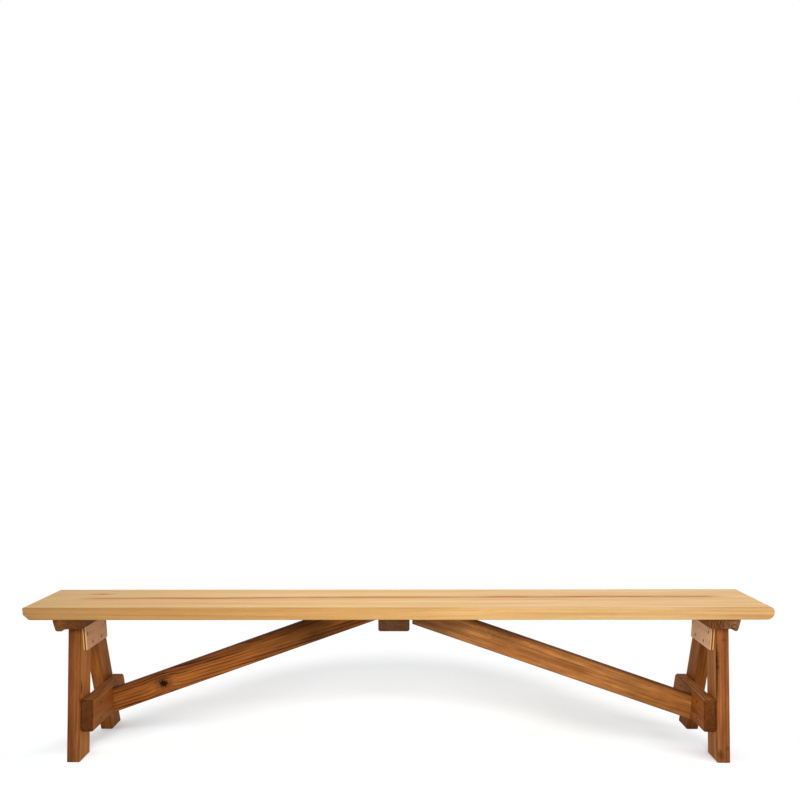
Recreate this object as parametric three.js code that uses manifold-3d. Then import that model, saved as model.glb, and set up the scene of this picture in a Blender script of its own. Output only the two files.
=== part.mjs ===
// Picnic bench: a pine plank on two splayed trestles, tied by rails and sloping braces.
// Millimetres, +Z up, the floor at zero, X along the seat, the front at negative Y.

import * as THREE from "three";
import { mergeVertices } from "three/addons/utils/BufferGeometryUtils.js";
import Module from "manifold-3d";

const wasm = await Module();
wasm.setup();

// Rounds of an outline are measured on the flat face, inside the ease of the arris around it

// Seat
const SEAT_LENGTH = 2100;
const SEAT_HEIGHT = 440;
const SEAT_WIDTH = 300;
const SEAT_THICKNESS = 36;
const SEAT_EASE = 3.5;

// The seat's left end is chamfered below, and its right end is a rounded nose, fuller below
const LEFT_CHAMFER_RUN = 16;
const LEFT_CHAMFER_RISE = 15;
const LEFT_ROUND = 1;
const RIGHT_TOP_ROUND_SHARE = 0.28;
const RIGHT_LOWER_ROUND_SHARE = 0.42;

// Sawn timber of the frame: its long arrises are eased more than its cut ends
const TIMBER_THICKNESS = 36;
const TIMBER_WIDTH = 88;
const TIMBER_EASE = 2.5;
const END_EASE = 1.2;

// Crosspieces under the seat: a batten in the middle, and a cleat over each pair of legs that is
// rebated to house their tops
const CROSSPIECE_INSET = 10;
const CROSSPIECE_THICKNESS = 34;
const BATTEN_OFFSET = -9.5;
const CROSSPIECE_ROUND = 3;
const CLEAT_BEVEL_SHARE = 0.085;
const CLEAT_REBATE = 7;
const REBATE_ROUND_SHARE = 0.7;
const LOBE_ROUND_SHARE = 0.25;

// How far each cleat stands out past the middle of its trestle
const LEFT_CLEAT_SHIFT = 3;
const RIGHT_CLEAT_SHIFT = -7;

// Trestles
const TRESTLE_OVERHANG = 125;
const FOOT_SPREAD = 399;
const LEG_TOP_GAP = 10;

// Plywood gussets
const GUSSET_THICKNESS = 12;
const GUSSET_LENGTH = 184;
const GUSSET_HEIGHT = 72.5;
const GUSSET_EASE = 0.6;

// Lower rails, cut parallel to the legs at both ends
const RAIL_WIDTH = 91;
const RAIL_CLEARANCE = 81;
const RAIL_END_INSET = 2;
const RAIL_EASE = 7;
const RAIL_ROUND = 3;

// Sloping braces, which stand one behind and one before the middle of the bench. They are cut
// to length from stock with a spare at each end
const BRACE_WIDTH = 70;
const BRACE_EASE = 6;
const BRACE_SPARE = 20;
const BRACE_FOOT_HEIGHT = 79;
const BRACE_NOSE = 35;
const BRACE_BATTEN_GAP = 8;
const LEFT_BRACE_FRONT = 28;
const RIGHT_BRACE_FRONT = -39;

// Seam between two pieces, and the slack of a nail or screw in its bore
const SEAM = 0.3;
const BORE_SLACK = 0.3;

// How far the cutter of a bore reaches out past the head
const CUTTER_REACH = 12;

// Nails and screws: length, radius of shank and head, depth of head, countersink and point
const GUSSET_NAIL = { length: 40, shank: 1.5, head: 3.2, headDepth: 1.2, countersink: 0, point: 4 };
const RAIL_NAIL = { length: 62, shank: 1.7, head: 3.6, headDepth: 1.4, countersink: 0, point: 5 };
const SEAT_SCREW = { length: 58, shank: 2.5, head: 4.8, headDepth: 0.8, countersink: 2.4, point: 6 };
const LEG_SCREW = { length: 75, shank: 2.5, head: 4.8, headDepth: 0.8, countersink: 2.4, point: 6 };
const FOOT_SCREW = { length: 90, shank: 2.5, head: 4.8, headDepth: 0.8, countersink: 2.4, point: 6 };
const NOSE_SCREW = { length: 56, shank: 2.5, head: 4.8, headDepth: 0.8, countersink: 2.4, point: 6 };

// The screw in a brace's nose: depth of its counterbore, and distance from the nose's end
const NOSE_COUNTERBORE = 8;
const NOSE_SCREW_INSET = 24;

// Gusset nails: share of the gusset's height, then of the leg's width outward from its middle
const GUSSET_NAIL_SHARES = {
  left: { front: [[0.65, 0.25], [0.21, -0.28]], back: [[0.66, 0.24], [0.19, -0.32]] },
  right: { front: [[0.67, 0.17], [0.2, -0.38]], back: [[0.64, 0.25], [0.2, -0.19]] },
};

// Rail nails: share of the rail's height, then of the leg's width outward from its middle
const RAIL_NAIL_SHARES = { front: [[0.73, -0.31], [0.22, -0.35]], back: [[0.76, -0.34], [0.22, -0.2]] };

// Screws into the seat: shares of a crosspiece's length and width either way from its middle. The
// outer ones of a cleat stand in the middle of its lobe, the part outside the legs
const BATTEN_SCREW_SHARES = [[-0.39, 0.24], [-0.15, -0.24], [0.15, 0.24], [0.39, -0.24]];
const LOBE_SCREW_SHARE = 0.39;
const REBATE_SCREW_SHARES = [0.15, -0.42];

// Screws from a rail into its brace: share of the height of the brace's foot
const FOOT_SCREW_SHARES = [0.45, 0.78];

// Fineness of round stretches
const ARC_STEPS = 5;
const EASE_STEPS = 2;
const BORE_SIDES = 10;

const SIDES = [
  { sideName: "left", side: -1, cleatShift: LEFT_CLEAT_SHIFT, braceFront: LEFT_BRACE_FRONT },
  { sideName: "right", side: 1, cleatShift: RIGHT_CLEAT_SHIFT, braceFront: RIGHT_BRACE_FRONT },
];
const ENDS = [
  { endName: "front", end: -1 },
  { endName: "back", end: 1 },
];

// Heights that follow from the sizes above, from the seat down
const seatUnderside = SEAT_HEIGHT - SEAT_THICKNESS;
const crosspieceTop = seatUnderside - SEAM;
const crosspieceBottom = crosspieceTop - CROSSPIECE_THICKNESS;
const legTop = crosspieceBottom + CLEAT_REBATE - SEAM;

// Crosspieces stop short of both edges of the seat
const crosspieceLength = SEAT_WIDTH - 2 * CROSSPIECE_INSET;
const cleatBevel = CLEAT_BEVEL_SHARE * TIMBER_WIDTH;

// Faces across the bench, from a trestle's middle plane towards the bench's middle
const trestleX = SEAT_LENGTH / 2 - TRESTLE_OVERHANG;
const legFace = TIMBER_THICKNESS / 2;
const plateBack = legFace + SEAM;
const gussetFace = plateBack + GUSSET_THICKNESS;
const railFace = plateBack + TIMBER_THICKNESS;

// Slant of a leg from the vertical. Across one leg, its run and its own slanted width add up to
// half the spread less half the gap: run * cos(slant) - height * sin(slant) = width
const legRun = (FOOT_SPREAD - LEG_TOP_GAP) / 2;
const legSlant = Math.acos(TIMBER_WIDTH / Math.hypot(legRun, legTop)) - Math.atan2(legTop, legRun);
const legLevelWidth = TIMBER_WIDTH / Math.cos(legSlant);

const paint = (color, roughness, metalness = 0) =>
  new THREE.MeshStandardMaterial({ color, roughness, metalness, flatShading: true });

const materials = {
  pine: paint(0xdcb57f, 0.55),
  stained: paint(0x86502a, 0.6),
  dark: paint(0x5d3c26, 0.65),
  plywood: paint(0xae8260, 0.7),
  steel: paint(0x6b625a, 0.45, 0.9),
};

const bench = new THREE.Group();
const fasteners = [];

// Outline through corners of [across, up, round], with an arc where the round isn't zero
function roundedOutline(corners, ease) {
  const points = corners.flatMap(([across, up, round], index) => {
    const corner = new THREE.Vector2(across, up);
    if (!round) {
      return [corner];
    }
    const radius = round + ease;
    const before = corners[(index + corners.length - 1) % corners.length];
    const after = corners[(index + 1) % corners.length];
    const back = new THREE.Vector2(before[0], before[1]).sub(corner).normalize();
    const ahead = new THREE.Vector2(after[0], after[1]).sub(corner).normalize();
    const half = Math.acos(back.dot(ahead)) / 2;
    const centre = back.clone().add(ahead).setLength(radius / Math.sin(half)).add(corner);
    const start = back.setLength(radius / Math.tan(half)).add(corner);
    const finish = ahead.setLength(radius / Math.tan(half)).add(corner);
    const spoke = start.clone().sub(centre);
    const turn = Math.atan2(spoke.cross(finish.sub(centre)), spoke.dot(finish));
    return Array.from({ length: ARC_STEPS + 1 }, (_, step) =>
      start.clone().rotateAround(centre, (turn * step) / ARC_STEPS));
  });
  return new THREE.Shape(points);
}

// Timber with its outline in X and Z and its thickness centred on Y, every arris eased
function timber(corners, thickness, ease) {
  const geometry = new THREE.ExtrudeGeometry(roundedOutline(corners, ease), {
    depth: thickness - 2 * ease,
    bevelThickness: ease,
    bevelSize: ease,
    bevelOffset: -ease,
    bevelSegments: EASE_STEPS,
    steps: 1,
  });
  geometry.translate(0, 0, ease - thickness / 2);
  return geometry.rotateX(Math.PI / 2);
}

// The same with its outline in Y and Z and its thickness centred on X
function crossTimber(corners, thickness, ease) {
  return timber(corners, thickness, ease).rotateZ(Math.PI / 2);
}

function add(parent, name, geometry, material, position) {
  const mesh = new THREE.Mesh(geometry, material);
  mesh.name = name;
  mesh.position.set(...position);
  parent.add(mesh);
  return mesh;
}

// Closed solid of a geometry, its shared vertices merged and its flat triangles left out
function solidOf(geometry) {
  const bare = geometry.clone();
  bare.deleteAttribute("normal");
  bare.deleteAttribute("uv");
  const merged = mergeVertices(bare);
  const index = merged.index.array;
  const triVerts = [];
  for (let at = 0; at < index.length; at += 3) {
    const corners = [index[at], index[at + 1], index[at + 2]];
    if (new Set(corners).size === corners.length) {
      triVerts.push(...corners);
    }
  }
  return new wasm.Manifold(new wasm.Mesh({
    numProp: 3,
    vertProperties: merged.attributes.position.array,
    triVerts: new Uint32Array(triVerts),
  }));
}

function geometryOf(solid) {
  const { vertProperties, triVerts } = solid.getMesh();
  const geometry = new THREE.BufferGeometry();
  geometry.setAttribute("position", new THREE.BufferAttribute(vertProperties, 3));
  geometry.setIndex(new THREE.BufferAttribute(triVerts, 1));
  geometry.computeVertexNormals();
  return geometry;
}

// Cuts off what lies behind each plane, given by its normal and its distance along that normal
function trimmed(geometry, cuts) {
  const cutOff = (solid, [normal, distance]) => solid.trimByPlane(normal, distance);
  return geometryOf(cuts.reduce(cutOff, solidOf(geometry)));
}

// Nail or screw along Y with its head's face at zero. With a slack it is the cutter of its own
// bore, which reaches out past the head
function fastenerShape({ length, shank, head, headDepth, countersink, point }, slack = 0) {
  const rise = slack ? CUTTER_REACH : 0;
  const profile = [
    [0, -length - slack],
    [shank + slack, point - length],
    [shank + slack, -headDepth - countersink - slack],
    [head + slack, -headDepth - slack],
    [head + slack, rise],
    [0, rise],
  ];
  return new THREE.LatheGeometry(profile.map(([x, y]) => new THREE.Vector2(x, y)), BORE_SIDES);
}

// Drives a nail or screw in at a place, its head facing outward, through the pieces it holds
function drive(parent, name, kind, position, outward, holds) {
  const pin = add(parent, name, fastenerShape(kind), materials.steel, position);
  pin.quaternion.setFromUnitVectors(new THREE.Vector3(0, 1, 0), new THREE.Vector3(...outward));
  fasteners.push({ pin, kind, holds });
}

// Distance of a leg's middle from the bench's middle plane at a height above the floor
function legMiddle(height) {
  return (FOOT_SPREAD - legLevelWidth) / 2 - height * Math.tan(legSlant);
}

// One wide plank with shaped ends
function seat() {
  const half = SEAT_LENGTH / 2;
  const corners = [
    [-half, 0, LEFT_ROUND],
    [-half, LEFT_CHAMFER_RISE - SEAT_THICKNESS, LEFT_ROUND],
    [LEFT_CHAMFER_RUN - half, -SEAT_THICKNESS, LEFT_ROUND],
    [half, -SEAT_THICKNESS, RIGHT_LOWER_ROUND_SHARE * SEAT_THICKNESS],
    [half, 0, RIGHT_TOP_ROUND_SHARE * SEAT_THICKNESS],
  ];
  add(bench, "seat_board", timber(corners, SEAT_WIDTH, SEAT_EASE), materials.pine, [0, 0, SEAT_HEIGHT]);
}

// Screws from the underside of a crosspiece up into the seat
function seatScrews(parent, label, piece, places) {
  places.forEach((place, index) => {
    drive(parent, `${label}_${index + 1}`, SEAT_SCREW, place, [0, 0, -1], [piece, "seat_board"]);
  });
}

// Flat crosspiece under the middle of the seat
function batten() {
  const half = TIMBER_WIDTH / 2;
  const corners = [
    [-half, 0, CROSSPIECE_ROUND],
    [-half, -CROSSPIECE_THICKNESS, CROSSPIECE_ROUND],
    [half, -CROSSPIECE_THICKNESS, CROSSPIECE_ROUND],
    [half, 0, CROSSPIECE_ROUND],
  ];
  const geometry = timber(corners, crosspieceLength, END_EASE);
  add(bench, "batten_middle", geometry, materials.dark, [BATTEN_OFFSET, 0, crosspieceTop]);
  const places = BATTEN_SCREW_SHARES.map(([lengthShare, widthShare]) => [
    BATTEN_OFFSET + widthShare * TIMBER_WIDTH,
    lengthShare * crosspieceLength,
    crosspieceBottom,
  ]);
  seatScrews(bench, "batten_screw", "batten_middle", places);
}

// Cleat over a pair of legs: bevelled outside, and rebated below to house the leg tops
function cleat(group, sideName, side, shift) {
  const half = TIMBER_WIDTH / 2;
  const shoulder = legFace + SEAM - shift;
  const lobe = half - cleatBevel - shoulder;
  const lobeRound = LOBE_ROUND_SHARE * lobe;
  const corners = [
    [-half, 0, CROSSPIECE_ROUND],
    [-half, CLEAT_REBATE - CROSSPIECE_THICKNESS, CROSSPIECE_ROUND],
    [shoulder, CLEAT_REBATE - CROSSPIECE_THICKNESS, 0],
    [shoulder, -CROSSPIECE_THICKNESS, Math.min(lobeRound, REBATE_ROUND_SHARE * CLEAT_REBATE)],
    [half - cleatBevel, -CROSSPIECE_THICKNESS, lobeRound],
    [half, 0, CROSSPIECE_ROUND],
  ].map(([across, up, round]) => [side * across, up, round]);
  const name = `cleat_${sideName}`;
  const middleX = side * shift;
  const geometry = timber(corners, crosspieceLength, END_EASE);
  add(group, name, geometry, materials.dark, [middleX, 0, crosspieceTop]);

  const [lengthShare, widthShare] = REBATE_SCREW_SHARES;
  const lobeX = middleX + side * (shoulder + lobe / 2);
  const rebateX = middleX + side * widthShare * TIMBER_WIDTH;
  const places = ENDS.flatMap(({ end }) => [
    [lobeX, end * LOBE_SCREW_SHARE * crosspieceLength, crosspieceBottom],
    [rebateX, end * lengthShare * crosspieceLength, crosspieceBottom + CLEAT_REBATE],
  ]);
  seatScrews(group, `cleat_screw_${sideName}`, name, places);
}

// Leg on the slant, its foot level with the floor and its top level under the cleat
function leg(group, sideName, endName, end) {
  const half = TIMBER_WIDTH / 2;
  const skew = half * Math.tan(legSlant);
  const length = legTop / Math.cos(legSlant);
  const corners = [
    [-half, -skew, 0],
    [half, skew, 0],
    [half, length + skew, 0],
    [-half, length - skew, 0],
  ];
  const name = `leg_${sideName}_${endName}`;
  const geometry = crossTimber(corners, TIMBER_THICKNESS, TIMBER_EASE);
  const mesh = add(group, name, geometry, materials.stained, [0, end * legMiddle(0), 0]);
  mesh.rotation.set(end * legSlant, 0, end > 0 ? Math.PI : 0);
  const screwName = `leg_screw_${sideName}_${endName}`;
  const screwPlace = [0, end * legMiddle(legTop), crosspieceTop];
  drive(group, screwName, LEG_SCREW, screwPlace, [0, 0, 1], [`cleat_${sideName}`, name]);
}

// Nails through a plate on the legs' inner faces, placed by shares of the plate and the leg
function plateNails(group, label, kind, shares, { plate, face, bottom, height, side, sideName }) {
  for (const { endName, end } of ENDS) {
    shares[endName].forEach(([heightShare, outShare], index) => {
      const z = bottom + heightShare * height;
      const place = [-side * face, end * (legMiddle(z) + outShare * legLevelWidth), z];
      const holds = [plate, `leg_${sideName}_${endName}`];
      drive(group, `${label}_${sideName}_${endName}_${index + 1}`, kind, place, [-side, 0, 0], holds);
    });
  }
}

// Plywood plate that ties the tops of a pair of legs together
function gusset(group, sideName, side) {
  const half = GUSSET_LENGTH / 2;
  const corners = [
    [-half, -GUSSET_HEIGHT, 0],
    [half, -GUSSET_HEIGHT, 0],
    [half, 0, 0],
    [-half, 0, 0],
  ];
  const plate = `gusset_${sideName}`;
  const place = [(-side * (plateBack + gussetFace)) / 2, 0, legTop];
  add(group, plate, crossTimber(corners, GUSSET_THICKNESS, GUSSET_EASE), materials.plywood, place);
  const bottom = legTop - GUSSET_HEIGHT;
  const plateFacts = { plate, face: gussetFace, bottom, height: GUSSET_HEIGHT, side, sideName };
  plateNails(group, "gusset_nail", GUSSET_NAIL, GUSSET_NAIL_SHARES[sideName], plateFacts);
}

// Rail on edge across the legs' inner faces, its ends cut parallel to the legs and rounded
function rail(group, sideName, side) {
  const reach = (height) => FOOT_SPREAD / 2 - height * Math.tan(legSlant) - RAIL_END_INSET;
  const low = reach(RAIL_CLEARANCE);
  const high = reach(RAIL_CLEARANCE + RAIL_WIDTH);
  const corners = [
    [-low, 0, RAIL_ROUND],
    [low, 0, RAIL_ROUND],
    [high, RAIL_WIDTH, RAIL_ROUND],
    [-high, RAIL_WIDTH, RAIL_ROUND],
  ];
  const plate = `rail_${sideName}`;
  const place = [(-side * (plateBack + railFace)) / 2, 0, RAIL_CLEARANCE];
  add(group, plate, crossTimber(corners, TIMBER_THICKNESS, RAIL_EASE), materials.stained, place);
  const plateFacts = { plate, face: railFace, bottom: RAIL_CLEARANCE, height: RAIL_WIDTH, side, sideName };
  plateNails(group, "rail_nail", RAIL_NAIL, RAIL_NAIL_SHARES, plateFacts);
}

// Two legs under a cleat, tied by a gusset and a rail
function trestle(sideName, side, cleatShift) {
  const group = new THREE.Group();
  group.position.set(side * trestleX, 0, 0);
  bench.add(group);
  cleat(group, sideName, side, cleatShift);
  for (const { endName, end } of ENDS) {
    leg(group, sideName, endName, end);
  }
  gusset(group, sideName, side);
  rail(group, sideName, side);
}

// Brace from the rail's inner face up to the seat beside the batten: plumb cuts at both ends and
// a level cut against the seat
function brace(sideName, side, braceFront) {
  const footX = trestleX - railFace - SEAM;
  const noseX = TIMBER_WIDTH / 2 + BRACE_BATTEN_GAP + side * BATTEN_OFFSET;
  const run = footX - noseX;
  const top = crosspieceTop - BRACE_FOOT_HEIGHT;
  const slope = Math.atan2(top - BRACE_NOSE, run);
  const footHeight = BRACE_WIDTH / Math.cos(slope);
  const corner = (along, lift) => [-side * along, along * Math.tan(slope) + lift, 0];
  const corners = [
    corner(-BRACE_SPARE, 0),
    corner(run + BRACE_SPARE, 0),
    corner(run + BRACE_SPARE, footHeight),
    corner(-BRACE_SPARE, footHeight),
  ];
  const stock = timber(corners, TIMBER_THICKNESS, BRACE_EASE);
  const cuts = [
    [[-side, 0, 0], 0],
    [[side, 0, 0], -run],
    [[0, 0, -1], -top],
  ];
  const name = `brace_${sideName}`;
  const middleY = braceFront + TIMBER_THICKNESS / 2;
  const place = [side * footX, middleY, BRACE_FOOT_HEIGHT];
  add(bench, name, trimmed(stock, cuts), materials.stained, place);
  FOOT_SCREW_SHARES.forEach((share, index) => {
    const head = [side * (trestleX - plateBack), middleY, BRACE_FOOT_HEIGHT + share * footHeight];
    const screwName = `brace_foot_screw_${sideName}_${index + 1}`;
    drive(bench, screwName, FOOT_SCREW, head, [side, 0, 0], [`rail_${sideName}`, name]);
  });
  const lowerEdge = crosspieceTop - BRACE_NOSE - NOSE_SCREW_INSET * Math.tan(slope);
  const noseHead = [side * (noseX + NOSE_SCREW_INSET), middleY, lowerEdge + NOSE_COUNTERBORE];
  drive(bench, `brace_nose_screw_${sideName}`, NOSE_SCREW, noseHead, [0, 0, -1], [name, "seat_board"]);
}

// Cuts the bore of every nail and screw out of the pieces that it holds
function boreHeldPieces() {
  bench.updateMatrixWorld(true);
  for (const name of new Set(fasteners.flatMap(({ holds }) => holds))) {
    const mesh = bench.getObjectByName(name);
    const toPiece = mesh.matrixWorld.clone().invert();
    let body = solidOf(mesh.geometry);
    for (const { pin, kind } of fasteners.filter(({ holds }) => holds.includes(name))) {
      const cutter = fastenerShape(kind, BORE_SLACK).applyMatrix4(pin.matrixWorld);
      body = body.subtract(solidOf(cutter.applyMatrix4(toPiece)));
    }
    mesh.geometry = geometryOf(body);
  }
}

seat();
batten();
for (const { sideName, side, cleatShift, braceFront } of SIDES) {
  trestle(sideName, side, cleatShift);
  brace(sideName, side, braceFront);
}
boreHeldPieces();

export default bench;
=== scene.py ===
"""Picnic bench: finer timbers, nails and screws, their finishes, and the studio around them.

Metres, +Z up, X along the seat, the front at negative Y. Sizes of the bench are written in
millimetres and carry MM where they meet the scene.
"""

import logging
import math
from collections.abc import Callable, Sequence
from dataclasses import dataclass
from enum import Enum, IntEnum
from typing import Any

import bpy
import numpy as np
from mathutils import Euler, Matrix, Vector


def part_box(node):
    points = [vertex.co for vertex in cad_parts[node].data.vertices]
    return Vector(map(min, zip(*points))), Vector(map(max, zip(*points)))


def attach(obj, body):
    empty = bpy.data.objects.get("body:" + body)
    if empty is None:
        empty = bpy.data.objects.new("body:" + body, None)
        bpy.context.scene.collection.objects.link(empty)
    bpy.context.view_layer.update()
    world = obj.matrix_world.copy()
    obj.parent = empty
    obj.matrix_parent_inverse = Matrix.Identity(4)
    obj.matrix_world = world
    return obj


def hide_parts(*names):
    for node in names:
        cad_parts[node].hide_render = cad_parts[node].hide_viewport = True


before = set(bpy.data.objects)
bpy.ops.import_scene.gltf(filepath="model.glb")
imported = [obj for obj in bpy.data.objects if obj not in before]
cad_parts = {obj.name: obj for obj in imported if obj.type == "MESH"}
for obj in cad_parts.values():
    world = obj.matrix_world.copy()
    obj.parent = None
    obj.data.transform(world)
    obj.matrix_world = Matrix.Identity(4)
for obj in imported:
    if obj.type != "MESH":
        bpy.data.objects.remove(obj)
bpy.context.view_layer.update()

LOG = logging.getLogger("picnic_bench")
MM = 0.001
BODY = "root"

# Sizes that several sub-assemblies share, in millimetres
TIMBER = 36
TIMBER_WIDTH = 88
CROSSPIECE = 34
REBATE = 7
SEAM = 0.3
SEAT_HEIGHT = 440
CROSSPIECE_TOP = SEAT_HEIGHT - TIMBER - SEAM
LEG_TOP = CROSSPIECE_TOP - CROSSPIECE + REBATE - SEAM
TRESTLE = 925
BATTEN_SHIFT = -9.5

Triple = Colour = Corner = tuple[float, float, float]
Screen = tuple[int, int, int]
Span = tuple[float, float]
Table = tuple[Span, ...]


def linear(screen: Screen) -> Colour:
    """Linear colour of a screen's: its parts c, of 0 to 1, become ((c + 0.055) / 1.055) ** 2.4."""
    return tuple(((part / 255 + 0.055) / 1.055) ** 2.4 for part in screen)


# Shader maths


def maths(operation: str, turned: bool = False) -> Callable[..., "Signal"]:
    """Method that hands a signal and its other operands to a Math node.

    Args:
        operation: The node's operation.
        turned: Whether the signal comes last, as in a reflected form.

    Returns:
        The method.
    """

    def method(self: "Signal", *others: "Signal | float") -> "Signal":
        """The node's result."""
        operands = (*others, self) if turned else (self, *others)
        return self.finish.add("Math", {"operation": operation}, dict(enumerate(operands)))

    return method


class Signal:
    """A number, vector, colour or shader in a tree. Arithmetic on numbers adds Math nodes."""

    __add__, __radd__ = maths("ADD"), maths("ADD", turned=True)
    __sub__, __rsub__ = maths("SUBTRACT"), maths("SUBTRACT", turned=True)
    __mul__, __rmul__ = maths("MULTIPLY"), maths("MULTIPLY", turned=True)
    __truediv__, __rtruediv__ = maths("DIVIDE"), maths("DIVIDE", turned=True)
    __pow__, __rpow__ = maths("POWER"), maths("POWER", turned=True)
    __abs__, fraction, highest = maths("ABSOLUTE"), maths("FRACT"), maths("MAXIMUM")

    def __init__(self, finish: "Finish", socket: bpy.types.NodeSocket) -> None:
        """Wraps one output socket."""
        self.finish, self.socket = finish, socket

    def rise(self, start: float, end: float) -> "Signal":
        """Smooth step of this number.

        Args:
            start: Where the step leaves 0.
            end: Where it reaches 1, above the start or below it.

        Returns:
            The step.
        """
        ends = {"From Min": min(start, end), "From Max": max(start, end)}
        ends |= {"To Min": float(end < start), "To Max": float(end >= start)}
        return self.finish.add("MapRange", {"interpolation_type": "SMOOTHSTEP"}, {"Value": self} | ends)

    def vector(self, operation: str, *others: "Signal | Triple", out: int | str = 0) -> "Signal":
        """Result of a Vector Math node on this vector and others."""
        return self.finish.add("VectorMath", {"operation": operation}, dict(enumerate((self, *others))), out)

    def parts(self) -> list["Signal"]:
        """The three parts of a vector."""
        node = self.finish.add("SeparateXYZ", sockets={0: self}).socket.node
        return [Signal(self.finish, socket) for socket in node.outputs]

    def noise(self, stretch: Triple, seed: float, detail: float = 2.0, roughness: float = 0.5) -> "Signal":
        """Noise about a middle of 0.5 at this place, stretched along the axes.

        Args:
            stretch: Waves per metre along each axis.
            seed: Shift that makes one pattern differ from another.
            detail: Octaves of finer noise.
            roughness: Strength of the finer octaves.

        Returns:
            The noise.
        """
        spot = self.vector("MULTIPLY_ADD", stretch, (seed, seed * 1.7, seed * 2.3))
        sockets = {"Vector": spot, "Scale": 1.0, "Detail": detail, "Roughness": roughness}
        return self.finish.add("TexNoise", {"noise_dimensions": "3D"}, sockets)

    def mix(self, first: Any, second: Any, how: str = "MIX") -> "Signal":
        """Mix of two colours, with this number as the second's share.

        Args:
            first: A colour or signal.
            second: Another.
            how: The way of blending.

        Returns:
            The mixed colour.
        """
        settings = {"data_type": "RGBA", "blend_type": how, "clamp_factor": True}
        return self.finish.add("Mix", settings, {0: self, 6: first, 7: second}, 2)

    def between(self, first: "Signal", second: "Signal") -> "Signal":
        """Mix of two shaders, with this number as the second's share."""
        return self.finish.add("MixShader", sockets={0: self, 1: first, 2: second})

    def shade(self, level: "Signal") -> "Signal":
        """This colour made lighter or darker by a level about 1."""
        grey = self.finish.add("CombineColor", sockets=dict.fromkeys(("Red", "Green", "Blue"), level))
        return self.vector("MULTIPLY", grey)


class Finish:
    """The shader tree of a material or of the world."""

    def __init__(self, owner: bpy.types.ID, output: str = "OutputMaterial") -> None:
        """Empties the owner's tree and gives it an output node.

        Args:
            owner: The material or world.
            output: The output node's type without the ShaderNode in front.
        """
        self.owner = owner
        owner.use_nodes = True
        self.tree = owner.node_tree
        self.tree.nodes.clear()
        self.output = self.tree.nodes.new("ShaderNode" + output)

    def add(
        self,
        kind: str,
        settings: dict[str, Any] | None = None,
        sockets: dict[str | int, Any] | None = None,
        out: str | int = 0,
    ) -> Signal:
        """Adds a node.

        Args:
            kind: The node's type without the ShaderNode in front.
            settings: Its settings, set first. The stops of a ramp are (place, colour) pairs.
            sockets: Values or signals of its inputs, by name or number.
            out: The output to hand back, by name or number.

        Returns:
            That output.
        """
        node = self.tree.nodes.new("ShaderNode" + kind)
        for name, value in (settings or {}).items():
            if name == "stops":
                ramp = node.color_ramp.elements
                while len(ramp) < len(value):
                    ramp.new(0.5)
                for stop, (place, colour) in zip(ramp, value):
                    stop.position = place
                    stop.color = (*colour, 1.0)
            else:
                setattr(node, name, value)
        for name, value in (sockets or {}).items():
            socket = node.inputs[name]
            if isinstance(value, Signal):
                self.tree.links.new(value.socket, socket)
            else:
                socket.default_value = (*value, 1.0) if socket.type == "RGBA" else value
        return Signal(self, node.outputs[out])

    def close(self, shader: Signal) -> None:
        """Joins a shader to the output."""
        self.tree.links.new(shader.socket, self.output.inputs["Surface"])

    def surface(
        self, colour: Signal, roughness: Signal, relief: Signal, depth: float, **plain: float
    ) -> None:
        """Joins a Principled shader to the output.

        Args:
            colour: Base colour.
            roughness: Roughness.
            relief: Height of the relief, 0 to 1.
            depth: Depth of the relief.
            plain: Inputs that are the same all over, with _ for a space in the name.
        """
        bump = self.add("Bump", sockets={"Height": relief, "Distance": depth, "Strength": 1.0})
        sockets = {"Base Color": colour, "Roughness": roughness, "Normal": bump}
        sockets |= {name.replace("_", " "): value for name, value in plain.items()}
        self.close(self.add("BsdfPrincipled", sockets=sockets))


# Surfaces


ARC_STEPS = 8
ARRIS_POINTS = 6


@dataclass(frozen=True)
class Shell:
    """A closed mesh: its points in metres and its faces as rows of point numbers."""

    points: np.ndarray
    faces: list[list[int]]

    def moved(self, matrix: np.ndarray, place: Triple) -> "Shell":
        """The shell with its points turned by a matrix and then shifted."""
        return outward(self.points @ np.asarray(matrix, float).T + np.asarray(place, float), self.faces)


def tube_faces(rings: int, around: int) -> list[list[int]]:
    """Quads of a grid that closes on itself round each ring.

    Args:
        rings: Number of rings.
        around: Points in each ring.

    Returns:
        A row of four point numbers for each quad.
    """
    near = np.arange((rings - 1) * around).reshape(-1, around)
    after = np.roll(near, -1, 1)
    return np.stack([near, after, after + around, near + around], -1).reshape(-1, 4).tolist()


def outward(points: np.ndarray, faces: list[list[int]]) -> Shell:
    """Shell whose faces point outwards.

    The volume is the sum, over the triangles of each face's fan, of a . (b x c) / 6. Where it is
    negative, every face is turned round.

    Args:
        points: Points in metres.
        faces: Rows of point numbers, all wound the same way.

    Returns:
        The shell.
    """
    fans = np.array([(face[0], b, c) for face in faces for b, c in zip(face[1:-1], face[2:])])
    a, b, c = (points[fans[:, corner]] for corner in range(3))
    volume = np.einsum("ij,ij->i", a, np.cross(b, c)).sum()
    return Shell(points, faces if volume > 0 else [face[::-1] for face in faces])


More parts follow.
